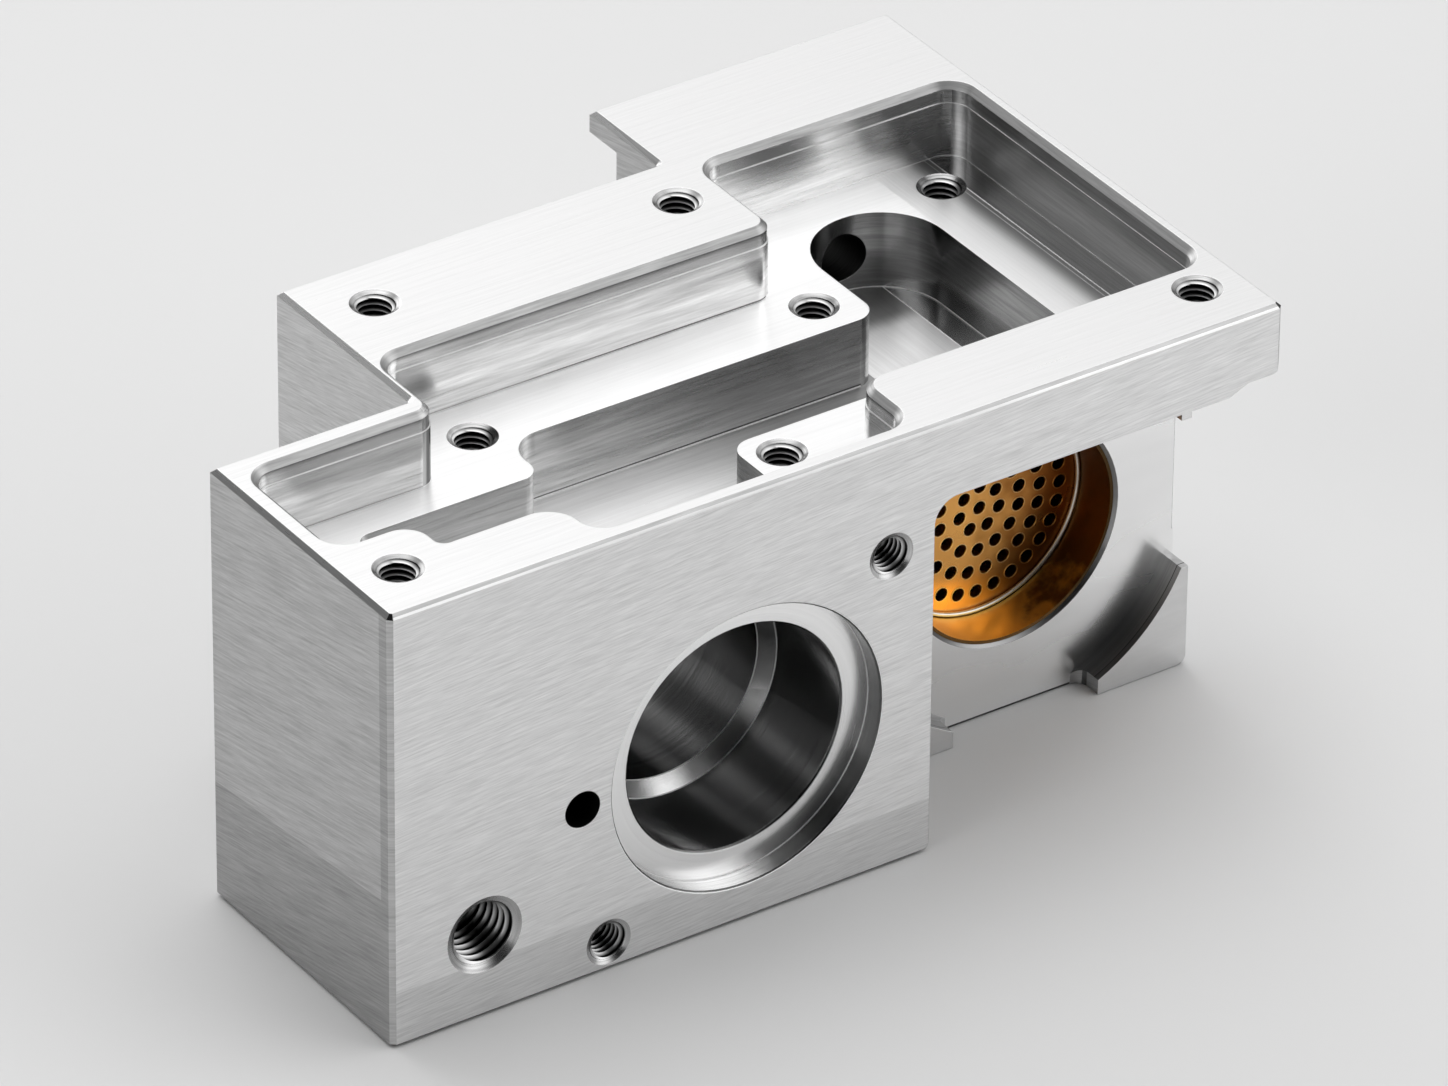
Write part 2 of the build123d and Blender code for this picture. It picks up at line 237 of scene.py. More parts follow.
# Borders of the finishes: a point in mm from the lowest corner, and the direction across.
STRIP_BACK = 2.6
LOW_BAND = 9.0
RIGHT_FLOOR = 132.85
WALL_PASS = 142.6
SLOT_PASS = 128.6
SLOPE = np.array((0.0, 4.4, 45.8))
SLOPE_START = 23.7
BORDERS = (
    ((0, STRIP_BACK, 0), (0, 1, 0)),
    ((0, 0, SLOPE_START), SLOPE),
    ((0, 0, LOW_BAND), (0, 0, 1)),
    ((RIGHT_FLOOR, 0, 0), (1, 0, 0)),
    ((WALL_PASS, 0, 0), (1, 0, 0)),
    ((SLOT_PASS, 0, 0), (1, 0, 0)),
)


def smooth_but_sharp(shape, mesh):
    """Smooth faces with every edge sharper than SHARP kept crisp, written to a mesh."""
    for edge in shape.edges:
        edge.smooth = edge.calc_face_angle(0) < SHARP
    for face in shape.faces:
        face.smooth = True
    open_edges = sum(len(edge.link_faces) != 2 for edge in shape.edges)
    print(mesh.name, len(shape.faces), "faces, open edges:", open_edges)
    shape.to_mesh(mesh)
    shape.free()


def add_piece(name, mesh):
    """Puts a mesh in the scene as a piece that rides the body."""
    piece = bpy.data.objects.new(name, mesh)
    bpy.context.scene.collection.objects.link(piece)
    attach(piece, "root")
    return piece


def merged_copy(name, borders=()):
    """A merged copy of a solid's mesh that stands for it."""
    mesh = frame["nodes"][name].data.copy()
    mesh.name = name + "_finished"
    if "custom_normal" in mesh.attributes:
        mesh.attributes.remove(mesh.attributes["custom_normal"])
    shape = bmesh.new()
    shape.from_mesh(mesh)
    bmesh.ops.remove_doubles(shape, verts=shape.verts, dist=WELD)
    for point, across in borders:
        spot = np.array(point) * MM + low
        everything = shape.verts[:] + shape.edges[:] + shape.faces[:]
        bmesh.ops.bisect_plane(shape, geom=everything, dist=ON_PLANE, plane_co=spot, plane_no=across)
    smooth_but_sharp(shape, mesh)
    mesh.materials.clear()
    piece = add_piece(mesh.name, mesh)
    piece.modifiers.new("flat faces stay flat", "WEIGHTED_NORMAL").keep_sharp = True
    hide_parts(name)
    return piece


housing = merged_copy("housing", BORDERS)

# %% [markdown]
# ## Which tool cut which face
# Every face is known by its place and by the way that it faces. The top is a level face at
# the full height, a bore's wall stands round the axis that the record gives it, and so on.
# The middles and the directions of all faces are read as two arrays, in millimetres from the
# lowest corner, and each test below picks faces with them. A later test outdoes an earlier one.

# %% Places and directions of the faces
# How much of a face's direction lies along an axis: all of it, or hardly any.
ALL, HARDLY = 0.99, 0.3

faces = housing.data.polygons
centre = np.empty(len(faces) * 3)
normal = np.empty(len(faces) * 3)
faces.foreach_get("center", centre)
faces.foreach_get("normal", normal)
centre = (centre.reshape(-1, 3) - low) / MM
normal = normal.reshape(-1, 3)
x, y, z = centre.T
nx, ny, nz = normal.T
upright = abs(nz) < HARDLY
level = nz > ALL


def within(lowest, highest):
    """Faces whose middles lie inside a box, given by its lowest and its highest corner in mm."""
    return ((centre > lowest) & (centre < highest)).all(axis=1)


print("faces of the housing:", len(faces))

# %% Outside faces
# On a bevel that share is between these two, and on the wall of an arc it stays under the third.
BEVEL_LEAST, BEVEL_MOST = 0.4, 0.95
ARC_MOST = 0.5
# A face counts as lying on a plane when it is this near, in mm.
NEAR = 0.1
CHAMFER = 1
BOTTOM_CHAMFER = 0.6
STEP_SIDE = 32.8
PADS_END = 21
# Boxes in mm, each with its lowest and its highest corner. ANY leaves a side open.
ANY = np.inf
RECESS = ((90.5, 15, -ANY), (ANY, 30, 58))
ARC_WALL = ((92, 17, NEAR), (149.4, 24.4, 30))

finish = np.full(len(faces), "cut_edge", dtype=object)
finish[upright] = "brushed_side"
finish[abs(nz) > ALL] = "milled_level"
finish[level & (z > height - NEAR)] = "fly_cut_top"
front = (ny < -ALL) & (y < NEAR)
finish[front] = "brushed_front"
# The lowest strip of the front gets a painted reflection of the shadowed paper.
finish[front & (z < LOW_BAND)] = "front_low_band"
finish[(nx < -ALL) & (abs(x - STEP_SIDE) < NEAR)] = "brushed_step"
left = (nx < -ALL) & (x < NEAR)
finish[left & (y < STRIP_BACK)] = "edge_strip"
# Below a sloping line the left side gets a painted reflection of the shadowed paper.
finish[left & (y > STRIP_BACK) & (z < SLOPE_START - y * SLOPE[1] / SLOPE[2])] = "low_band"

top_chamfer = (z > height - CHAMFER) & (nz > BEVEL_LEAST) & (nz < BEVEL_MOST)
over_the_front = top_chamfer & (y < CHAMFER) & (ny < -BEVEL_LEAST)
finish[over_the_front] = "front_top_edge"
finish[top_chamfer & (x < CHAMFER) & (nx < -BEVEL_LEAST)] = "left_top_edge"
finish[over_the_front & (abs(nx) > BEVEL_LEAST)] = "corner_facet"
recess = within(*RECESS) & (ny < -ALL)
finish[recess] = "faced_recess"
finish[recess & (y < PADS_END)] = "pad_face"
finish[within(*ARC_WALL) & (abs(ny) < ARC_MOST) & (nx > -ALL)] = "arc_wall"
# The lowest chamfer gets a painted contact shadow.
finish[(z < BOTTOM_CHAMFER) & (nz < -HARDLY) & (nz > -BEVEL_MOST)] = "bottom_edge"
print("front faces:", int(front.sum()))

# %% Faces of the pocket
SHELF = 59.0
SLOT_BOTTOM = 46.4
# A box round the pocket, and the boxes that it leaves out: both steps of the outline, what lies
# under the flange, and the right end.
POCKET = ((2, 2, 46), (148, 90, height))
LEFT_STEP = ((-ANY, 43, -ANY), (34, ANY, ANY))
MIDDLE_STEP = ((-ANY, 78, -ANY), (98, ANY, ANY))
UNDER_FLANGE = ((110, -ANY, -ANY), (ANY, 24, SHELF))
RIGHT_END = ((136, -ANY, -ANY), (ANY, ANY, SHELF))
# The box of the wall's rounded end, where the pocket widens past the left step.
WALL_END = ((32, 41, -ANY), (36, 45, ANY))
# Walls past these places along X belong to the back, to the right side and to the slot.
BACK_WALL_START, RIGHT_WALL_START, SLOT_START = 101, 140, 109
# A face that is turned towards an axis mostly, to within an eighth of a turn, or just a little.
MOSTLY, A_LITTLE = 0.7, 0.1

pocket = within(*POCKET)
for left_out in (LEFT_STEP, MIDDLE_STEP, UNDER_FLANGE, RIGHT_END):
    pocket &= ~within(*left_out)
upper = pocket & (z > SHELF - NEAR)
lower = pocket & ~upper
walls = upper & upright
finish[walls] = "pocket_wall"
finish[walls & (x > BACK_WALL_START)] = "back_wall"
finish[walls & (nx < -MOSTLY) & (x > RIGHT_WALL_START)] = "right_wall"
finish[walls & within(*WALL_END) & (nx > A_LITTLE) & (ny < -A_LITTLE)] = "wall_end"
finish[upper & top_chamfer] = "pocket_edge"
finish[lower & upright] = "ledge_wall"
finish[lower & upright & (x > SLOT_START)] = "slot_wall"
shelf = upper & level & (z < SHELF + NEAR)
finish[shelf] = "shelf_floor"
finish[shelf & (x > RIGHT_FLOOR)] = "right_floor"
finish[shelf & (x > WALL_PASS)] = "wall_pass"
finish[lower & level] = "channel_floor"
slot = lower & level & (z < SLOT_BOTTOM + NEAR)
finish[slot] = "slot_floor"
finish[slot & (x > SLOT_PASS)] = "slot_pass"
print("pocket faces:", int(pocket.sum()))

# %% [markdown]
# Bores and holes come last, since they cut through the flat faces. Their axes come from the
# record, where a bore is the middle of its wall, its direction, its radius and its length.
# A countersink is told from the wall behind it by how far it leans towards the axis.

# %% Where the bores and holes are
mounts = {mount["name"]: mount for mount in frame["record"]["mounts"]}
# The holes of the rows are 10 mm deep, and their countersinks take the first of it.
SINK_DEPTH = 0.41
ROW_DEPTH = 10 - SINK_DEPTH


def place_of(name):
    """A mount's middle, in mm from the lowest corner."""
    return (np.array(mounts[name]["pos_m"]) - low) / MM


def round_the_axis(place, axis, radius, front, behind):
    """Faces whose middles lie within a radius of an axis, from behind to front along it from a place."""
    along = (centre - place) @ axis
    away = np.linalg.norm(centre - place - along[:, None] * axis, axis=1)
    return (away < radius) & (along < front) & (along > -behind)


def round_a_mount(name, wider, before, after):
    """Faces within a bore's radius of its axis, from before its mouth to after its end, in mm."""
    size = mounts[name]["dims"]
    half = size["length_mm"] / 2
    axis = np.array(mounts[name]["axis"], float)
    return round_the_axis(place_of(name), axis, size["r_mm"] + wider, half + before, half + after)


# Each threaded hole: its name, the mouth of its wall, the way out, its radius and its length.
threaded = []
for name, mount in mounts.items():
    axis, size = np.array(mount["axis"], float), mount["dims"]
    if mount["kind"] == "threaded_hole":
        mouth = place_of(name) + axis * size["length_mm"] / 2
        threaded.append((name, mouth, axis, size["r_mm"], size["length_mm"]))
    if mount["kind"] == "bolt_pattern":
        for word, side in (("left", -0.5), ("right", 0.5)):
            mouth = place_of(name) + (side * size["spacing_x_mm"], 0, -SINK_DEPTH)
            threaded.append((f"{name}_{word}", mouth, axis, size["hole_r_mm"], ROW_DEPTH))
print("threaded holes:", len(threaded))

# %% Faces of the bores
# How far a bore's faces lie past its radius, its mouth and its end at most, in mm.
BORE_WIDER, JUST, BORE_AFTER = 0.6, 0.01, 3
# A face across the bore has at least this much of its direction along the bore's axis.
ACROSS_BORE = 0.9
# The shoulder between these places along Y is a cone, so its faces lean by this much or more.
SHOULDER_START, SHOULDER_END = 19.2, 21.6
SHOULDER_LEAN = 0.2
# The chamfers at the counterbore's mouth and at its end reach this far past its wall.
MOUTH_CHAMFER, END_CHAMFER = 0.3, 0.4

for name in ("main_counterbore", "main_bore", "inner_bore"):
    cut = round_a_mount(name, BORE_WIDER, JUST, BORE_AFTER) & (y > NEAR)
    finish[cut & (abs(ny) < ACROSS_BORE)] = "turned_bore"
    finish[cut & (abs(ny) >= ACROSS_BORE)] = "faced_ring"
    leaning = (abs(ny) > SHOULDER_LEAN) & (abs(ny) < ACROSS_BORE)
    finish[cut & leaning & (y > SHOULDER_START) & (y < SHOULDER_END)] = "bore_shoulder"
counterbore = round_a_mount("main_counterbore", BORE_WIDER, JUST, 0)
finish[counterbore & (abs(ny) < ACROSS_BORE)] = "counterbore_wall"
mouths = round_a_mount("main_counterbore", BORE_WIDER, MOUTH_CHAMFER, END_CHAMFER)
finish[mouths & (ny < -BEVEL_LEAST) & (ny > -ACROSS_BORE)] = "turned_edge"

# The lined bore's faces lie within a radius, between its mouth and its end, and below the slot.
LINED_AXIS = place_of("lined_bore") * (1, 0, 1)
LINED_RADIUS, LINED_TOP = 18.8, 46.2
LINED_MOUTH, BEHIND_DISC, LINED_END = 24.4, 33, 50
near_lining = np.hypot(x - LINED_AXIS[0], z - LINED_AXIS[2]) < LINED_RADIUS
near_lining &= (y > LINED_MOUTH) & (y < LINED_END) & (z < LINED_TOP)
finish[near_lining & (abs(ny) < ACROSS_BORE)] = "lined_bore_mouth"
print("faces of the main counterbore:", int(counterbore.sum()))

# %% Faces of the holes
# How far a countersink reaches past the wall's radius, and before and after the wall's mouth.
SINK_WIDER, SINK_BEFORE, SINK_AFTER = 1.3, 1.2, 0.2
# How far a hole's faces lie past its radius at most, and how deep the drill's point may go.
HOLE_WIDER, DRILL_POINT = 0.2, 3.5

for name, mouth, axis, radius, length in threaded:
    lean = abs(normal @ axis)
    leaning = (lean > A_LITTLE) & (lean < BEVEL_MOST)
    sink = "front_countersink" if axis[1] else "top_countersink"
    finish[round_the_axis(mouth, axis, radius + SINK_WIDER, SINK_BEFORE, SINK_AFTER) & leaning] = sink
    wall = round_the_axis(mouth, axis, radius + HOLE_WIDER, -JUST, length + DRILL_POINT)
    finish[wall] = "drilled_hole"
# The port opens into the slot, so nothing past its end belongs to it.
for name, after in (("plain_hole", DRILL_POINT), ("port", -JUST)):
    finish[round_a_mount(name, HOLE_WIDER, -JUST, after)] = "drilled_hole"
finish[near_lining & (y > BEHIND_DISC)] = "drilled_hole"
print("faces of the holes:", int((finish == "drilled_hole").sum()))

# %% [markdown]
# ## Metal with tool marks
# A cutter or a belt leaves fine parallel marks, and metal with such marks throws its
# highlights across them. One recipe serves for every cut face. A noise is squeezed across
# the marks and drawn out along them, and it gives the colour its streaks, the gloss its
# unevenness and the surface its relief. The shader's tangent follows the marks, and an
# anisotropic rotation of a quarter turn spreads the highlight across them. On a lathe the
# marks are circles, so there the place is first turned into a distance and a direction.

# %% Lanes of straight and of circular marks
AXES = {"X": (1.0, 0.0, 0.0), "Y": (0.0, 1.0, 0.0), "Z": (0.0, 0.0, 1.0)}


def straight_lanes(tree, place, across, pitch, run, tilt):
    """Where the noise is read for straight marks, and the way that the surface faces.

    It is read at place / size, where size is pitch across the marks and run along them.
    """
    scale = [1 / ((pitch if letter == across else run) * MM) for letter in AXES]
    tilted = node(tree, "ShaderNodeMapping", Vector=place, Rotation=np.radians(tilt)).outputs[0]
    facing = node(tree, "ShaderNodeNewGeometry").outputs["Normal"]
    return node(tree, "ShaderNodeMapping", Vector=tilted, Scale=scale).outputs[0], facing


def lane_and_outward(tree, place, across, middle):
    """For circles round an axis: a place's distance plus its depth, in metres, and its way outward."""
    axis = AXES[across]
    start = middle * MM + low
    off = node(tree, VECTOR_MATH, {"operation": "SUBTRACT"}, i0=place, i1=start).outputs[0]
    flat = node(tree, VECTOR_MATH, {"operation": "MULTIPLY"}, i0=off, i1=np.ones(3) - axis).outputs[0]
    away = node(tree, VECTOR_MATH, {"operation": "LENGTH"}, i0=flat).outputs["Value"]
    depth = node(tree, VECTOR_MATH, {"operation": "DOT_PRODUCT"}, i0=off, i1=axis).outputs["Value"]
    outward = node(tree, VECTOR_MATH, {"operation": "NORMALIZE"}, i0=flat).outputs[0]
    return node(tree, MATH, {"operation": "ADD"}, i0=away, i1=depth).outputs[0], outward


def circular_lanes(tree, across, pitch, run, lane, outward):
    """Where the noise is read for circles: lane / pitch along the axis, plus the way outward times run."""
    lane = node(tree, MATH, {"operation": "DIVIDE"}, i0=lane, i1=pitch * MM).outputs[0]
    lane = node(tree, VECTOR_MATH, {"operation": "SCALE"}, i0=AXES[across], Scale=lane).outputs[0]
    round_it = node(tree, VECTOR_MATH, {"operation": "SCALE"}, i0=outward, Scale=run).outputs[0]
    return node(tree, VECTOR_MATH, {"operation": "ADD"}, i0=round_it, i1=lane).outputs[0]


print("axes that marks can run across:", *AXES)

# %% [markdown]
# Where two passes of a cutter meet they leave a thin line, which scatters more light than
# the smooth metal beside it. It is a mask on one axis, and a wide noise breaks it up, since
# such a line fades in and out. The line changes the colour and the gloss together. The same
# lines also paint dark creases and bright edges, as painted shade and painted highlights. A
# face's colour is also darkened slowly along one axis, towards where it mirrors something
# dark, as painted shade, which is a drift.

# %% Lines where two passes meet, painted lines of light and shade, and drifts of painted shade
LINE_GLOSS = 0.65
# A line has its full strength where the wide noise is above FULL_FROM, and this share below FAINT_TO.
FAINT_TO, FULL_FROM = 0.4, 0.55
FAINT_SHARE = 0.4


def reach_along(tree, place, letter):
    """How far a place lies along an axis from the part's lowest corner, in metres."""
    along = node(tree, VECTOR_MATH, {"operation": "DOT_PRODUCT"}, i0=place, i1=AXES[letter])
    edge = low["XYZ".index(letter)]
    return node(tree, MATH, {"operation": "SUBTRACT"}, i0=along.outputs["Value"], i1=edge).outputs[0]


def with_lines(tree, place, lane, unevenness, shade, gloss, lines):
    """Lays lines over a colour and a gloss. Each is an axis, a place and a width in mm, and a colour.

    The letter R measures along the lane of circular marks, which is their distance plus their depth.
    """
    for letter, spot, width, tone in lines:
        reach = lane if letter == "R" else reach_along(tree, place, letter)
        mask = node(tree, MATH, {"operation": "COMPARE"}, i0=reach, i1=spot * MM, i2=width / 2 * MM)
        fade = node(tree, "ShaderNodeMapRange", Value=unevenness, From_Min=FAINT_TO, From_Max=FULL_FROM,
                    To_Min=FAINT_SHARE)
        mask = node(tree, MATH, {"operation": "MULTIPLY"}, i0=mask.outputs[0], i1=fade.outputs[0]).outputs[0]
        shade = node(tree, MIX, OF_COLOURS, i0=mask, i6=shade, i7=linear(tone)).outputs[2]
        gloss = node(tree, MIX, OF_NUMBERS, i0=mask, i2=gloss, i3=LINE_GLOSS).outputs[0]
    return shade, gloss


def with_drifts(tree, place, shade, drifts):
    """Multiplies a colour by tints of painted shade. Each is an axis, its start and its full strength in mm,
    and a colour.
    """
    for letter, start, end, tint in drifts:
        reach = reach_along(tree, place, letter)
        amount = node(tree, "ShaderNodeMapRange", SMOOTH_STEP, Value=reach, From_Min=start * MM,
                      From_Max=end * MM).outputs["Result"]
        shade = node(tree, MIX, {"data_type": "RGBA", "blend_type": "MULTIPLY"}, i0=amount, i6=shade,
                     i7=linear(tint)).outputs[2]
    return shade


print("roughness of a line between two passes:", LINE_GLOSS)

# %% Recipe for tooled metal
# The noise is seldom below the first value or above the second. They give the darkest streak
# and the lightest, and the roughness at them is this much above and below its middle.
NOISE_LOW, NOISE_HIGH = 0.3, 0.7
UNEVEN_GLOSS = 0.05
# The wide noise has this share of the fine one's pace, so a wide streak spans about eight marks.
WIDE_SCALE = 0.12
QUARTER_TURN = 0.25
# Every crisp corner is shaded as if it were rounded by this radius, in mm.
ROUNDING = 0.2


def tooled_metal(name, light, dark, rough, across, pitch, run, relief=0.004, broad=0.25, spread=0.75,
                 tilt=(0, 0, 0), middle=None, lines=(), drifts=()):
    """Bare metal whose colour runs from dark to light with a streaky noise, and its gloss with it.

    rough is its middle roughness. across is the axis across the marks, and pitch and run are
    their sizes across and along it. With a middle the marks are circles round the axis, and run
    is how fast they change round it. relief is the marks' depth, broad the share of wide
    streaks, and spread the anisotropy. tilt turns the marks, in degrees, and lengths are in mm.
    lines and drifts are laid over the colour, as with_lines and with_drifts say.
    """
    material = bpy.data.materials.new(name)
    material.use_nodes = True
    tree = material.node_tree
    shader = tree.nodes["Principled BSDF"]
    shader.inputs["Metallic"].default_value = 1
    shader.inputs["Anisotropic"].default_value = spread
    shader.inputs["Anisotropic Rotation"].default_value = QUARTER_TURN
    place = node(tree, "ShaderNodeTexCoord").outputs["Object"]
    lane = None
    if middle is None:
        lanes, facing = straight_lanes(tree, place, across, pitch, run, tilt)
    else:
        lane, facing = lane_and_outward(tree, place, across, middle)
        lanes = circular_lanes(tree, across, pitch, run, lane, facing)
    along = node(tree, VECTOR_MATH, {"operation": "CROSS_PRODUCT"}, i0=facing, i1=AXES[across])
    tree.links.new(along.outputs[0], shader.inputs["Tangent"])

    fine = node(tree, "ShaderNodeTexNoise", Vector=lanes, Scale=1, Detail=3, Roughness=0.7).outputs["Fac"]
    wide = node(tree, "ShaderNodeTexNoise", Vector=lanes, Scale=WIDE_SCALE, Detail=2).outputs["Fac"]
    both = node(tree, MIX, OF_NUMBERS, i0=broad, i2=fine, i3=wide).outputs[0]
    streak = node(tree, "ShaderNodeMapRange", Value=both, From_Min=NOISE_LOW, From_Max=NOISE_HIGH).outputs[0]
    shade = node(tree, MIX, OF_COLOURS, i0=streak, i6=linear(dark), i7=linear(light)).outputs[2]
    gloss = node(tree, "ShaderNodeMapRange", Value=both, From_Min=NOISE_LOW, From_Max=NOISE_HIGH,
                 To_Min=rough + UNEVEN_GLOSS, To_Max=rough - UNEVEN_GLOSS).outputs[0]
    shade = with_drifts(tree, place, shade, drifts)
    shade, gloss = with_lines(tree, place, lane, wide, shade, gloss, lines)
    tree.links.new(shade, shader.inputs["Base Color"])
    tree.links.new(gloss, shader.inputs["Roughness"])

    if relief:
        corner = node(tree, "ShaderNodeBevel", {"samples": 4}, Radius=ROUNDING * MM).outputs[0]
        marks = node(tree, "ShaderNodeBump", Height=fine, Distance=relief * MM, Strength=1, Normal=corner)
        tree.links.new(marks.outputs[0], shader.inputs["Normal"])
    return material


face_slots = np.full(len(faces), -1, dtype=np.int32)


def finish_faces(name, *look, **details):
    """Makes a finish and gives it to the housing's faces of that name."""
    face_slots[finish == name] = len(housing.data.materials)
    housing.data.materials.append(tooled_metal(name, *look, **details))


print("finishes to make:", len(set(finish)))

# %% [markdown]
# ## The finishes
# A metal's colour is its own reflection: pale for aluminium. Many faces are also painted
# lighter or darker than that, or carry painted lines, as painted light and shade. Each finish
# below gives its lightest and darkest streak, its roughness, the axis across the marks, and
# the marks' width and length in millimetres. Real marks are finer than the picture can show,
# so they are drawn two or three times as coarse.

# %% The brushed outside
BELT = ("Z", 0.3, 7)
FRONT_BELT = {"tilt": (0, 3.7, 0), "broad": 0.15}
SIDE_BELT = {"tilt": (11, 0, 0), "broad": 0.15}
# Belt-brushed front: short satin streaks that run a little uphill.
finish_faces("brushed_front", "F8F8F8", "D2D2D2", 0.36, *BELT, **FRONT_BELT)
# The lowest strip of the front is painted a little darker, as a painted reflection of the
# shadowed paper.
finish_faces("front_low_band", "E8E8E8", "C2C2C2", 0.36, *BELT, **FRONT_BELT)
# The sides are brushed like the front and a little duller, and are painted darker than the
# front, as painted shade. The low band of the left side, below a sloping border, is a painted
# reflection of the shadowed paper, and the strip by the front corner is as dark.
finish_faces("brushed_side", "CCCCCC", "A8A8A8", 0.4, *BELT, **SIDE_BELT)
finish_faces("low_band", "B8B8B8", "949494", 0.4, *BELT, **SIDE_BELT)
finish_faces("edge_strip", "B8B8B8", "949494", 0.4, *BELT, **SIDE_BELT)
# The step at the back is brushed like the sides, and is painted the palest of them, as
# painted light.
finish_faces("brushed_step", "DCDCDC", "B6B6B6", 0.4, *BELT, **SIDE_BELT)
print("finishes so far:", len(housing.data.materials))

# %% The top and the edges
# The axis across the marks, their width, their length and their relief.
EDGE_MARKS = ("Z", 0.3, 10, 0.001)
# A painted highlight along the lower edge of the chamfer over the front.
EDGE_GLINT = ("Y", 0.14, 0.28, "FFFFFF")
# Fly-cut top: one wide cutter left it almost white, with long faint lines.
finish_faces("fly_cut_top", "F2F2F2", "E0E0E0", 0.32, "Y", 0.5, 16)
# Small level faces, such as the tops of the pads: milled, satin and light.
finish_faces("milled_level", "DCDCDC", "BCBCBC", 0.32, "Y", 0.5, 9)
# Chamfers: a sharp tool left them smooth, so they flash where they meet the light. The long
# one over the front is painted a shade darker, as painted shade, with a painted highlight
# along its lower edge.
finish_faces("cut_edge", "E8E8E8", "C8C8C8", 0.28, *EDGE_MARKS)
finish_faces("front_top_edge", "C8C8C8", "A0A0A0", 0.3, *EDGE_MARKS, lines=(EDGE_GLINT,))
# The chamfer along the left top is painted darker still, as painted shade.
finish_faces("left_top_edge", "B0B0B0", "888888", 0.3, *EDGE_MARKS)
# The lowest edge is painted dark, as a painted contact shadow.
finish_faces("bottom_edge", "606060", "404040", 0.4, *EDGE_MARKS)
# The pocket's rim was broken by hand, so it is duller than the outer edges.
finish_faces("pocket_edge", "C0C0C0", "909090", 0.36, *EDGE_MARKS, spread=0.2)
# The facet at the front corner is painted near black, as a painted reflection of the dark gap
# between two panels.
finish_faces("corner_facet", "303030", "202020", 0.3, "Z", 0.45, 5)
print("finishes so far:", len(housing.data.materials))

# %% The walls of the pocket
SMEAR = ("Z", 0.6, 14)
WITNESS_LINE = ("Z", height - 3.1, 0.14, "FFFFFF")
FAINT_WITNESS = ("Z", height - 3.1, 0.1, "C8C8C8")
# The feet below are lines of painted shade in the crease or painted highlights, and the shaded bands are
# drifts of painted shade.
DARK_FOOT = ("Z", SHELF + 0.08, 0.22, "303030")
BRIGHT_FOOT = ("Z", SHELF + 0.08, 0.22, "FFFFFF")
LEDGE_LINES = (("Z", 48.0, 0.2, "404040"), ("Z", 47.74, 0.28, "FFFFFF"))
SLOT_FOOT = ("Z", 46.5, 0.2, "FFFFFF")
SHADED_RIM = ("Z", height - 1.8, height - 0.9, "989898")
SHADED_RIGHT = ("Z", height - 9, height - 1, "A8A8A8")
# Milled walls: broad level smears, and a bright line where the finishing pass ended. A line
# of painted shade lies in the crease at the foot, and a band at the top is painted darker,
# as painted shade.
finish_faces("pocket_wall", "EEEEEE", "A4A4A4", 0.24, *SMEAR, broad=0.5, lines=(WITNESS_LINE, DARK_FOOT),
             drifts=(SHADED_RIM,))
# The back and right walls have a painted highlight at the foot, and the right wall is painted darker towards
# its top, as painted shade.
finish_faces("back_wall", "FFFFFF", "BCBCBC", 0.26, *SMEAR, broad=0.5, lines=(FAINT_WITNESS, BRIGHT_FOOT))
finish_faces("right_wall", "F4F4F4", "B4B4B4", 0.32, *SMEAR, broad=0.5, lines=(FAINT_WITNESS, BRIGHT_FOOT),
             drifts=(SHADED_RIGHT,))
# The rounded end of the wall turns away from the light, so it is painted darker along X into
# a dark streak, as painted shade.
END_START = x[finish == "wall_end"].min()
finish_faces("wall_end", "B8B8B8", "888888", 0.24, "X", 0.5, 20, lines=(WITNESS_LINE,),
             drifts=(("X", END_START, END_START + 1, "686868"),))
# The ledge wall has a line of painted shade in the crease at its foot with a painted highlight below it, and
# the slot wall a painted highlight at its foot.
finish_faces("ledge_wall", "E0E0E0", "909090", 0.26, *SMEAR, broad=0.5, lines=LEDGE_LINES)
finish_faces("slot_wall", "CCCCCC", "848484", 0.18, *SMEAR, broad=0.5, lines=(SLOT_FOOT,))
print("finishes so far:", len(housing.data.materials))

# %% The floors of the pocket
LANES_ALONG_X = ("Y", 0.5, 20)
LANES_ALONG_Y = ("X", 0.5, 20)
SHADED_CHANNEL = ("X", 66, 96, "A0A0A0")
PASS_LINE = ("X", 128.5, 0.2, "FFFFFF")
SHADED_SLOT_END = ("Y", 57.5, 61.5, "A8A8A8")
WALL_PASS_LINES = (("X", 142.5, 0.22, "FFFFFF"), ("X", 141.7, 0.12, "FFFFFF"))
SHADED_BY_WALL = ("X", 138, 141.5, "989898")
# Milled floors: long soft lanes, pale, since they face the panel overhead.
finish_faces("shelf_floor", "FFFFFF", "ECECEC", 0.32, *LANES_ALONG_X, broad=0.5)
# The channel floor is painted darker along X, and the slot floor towards the back, as painted shade.
finish_faces("channel_floor", "FFFFFF", "D8D8D8", 0.32, *LANES_ALONG_X, broad=0.5, drifts=(SHADED_CHANNEL,))
finish_faces("slot_floor", "FFFFFF", "E0E0E0", 0.45, *LANES_ALONG_Y, broad=0.5, spread=0.3,
             lines=(PASS_LINE,), drifts=(SHADED_SLOT_END,))
finish_faces("slot_pass", "E0E0E0", "A0A0A0", 0.24, *LANES_ALONG_Y, broad=0.5)
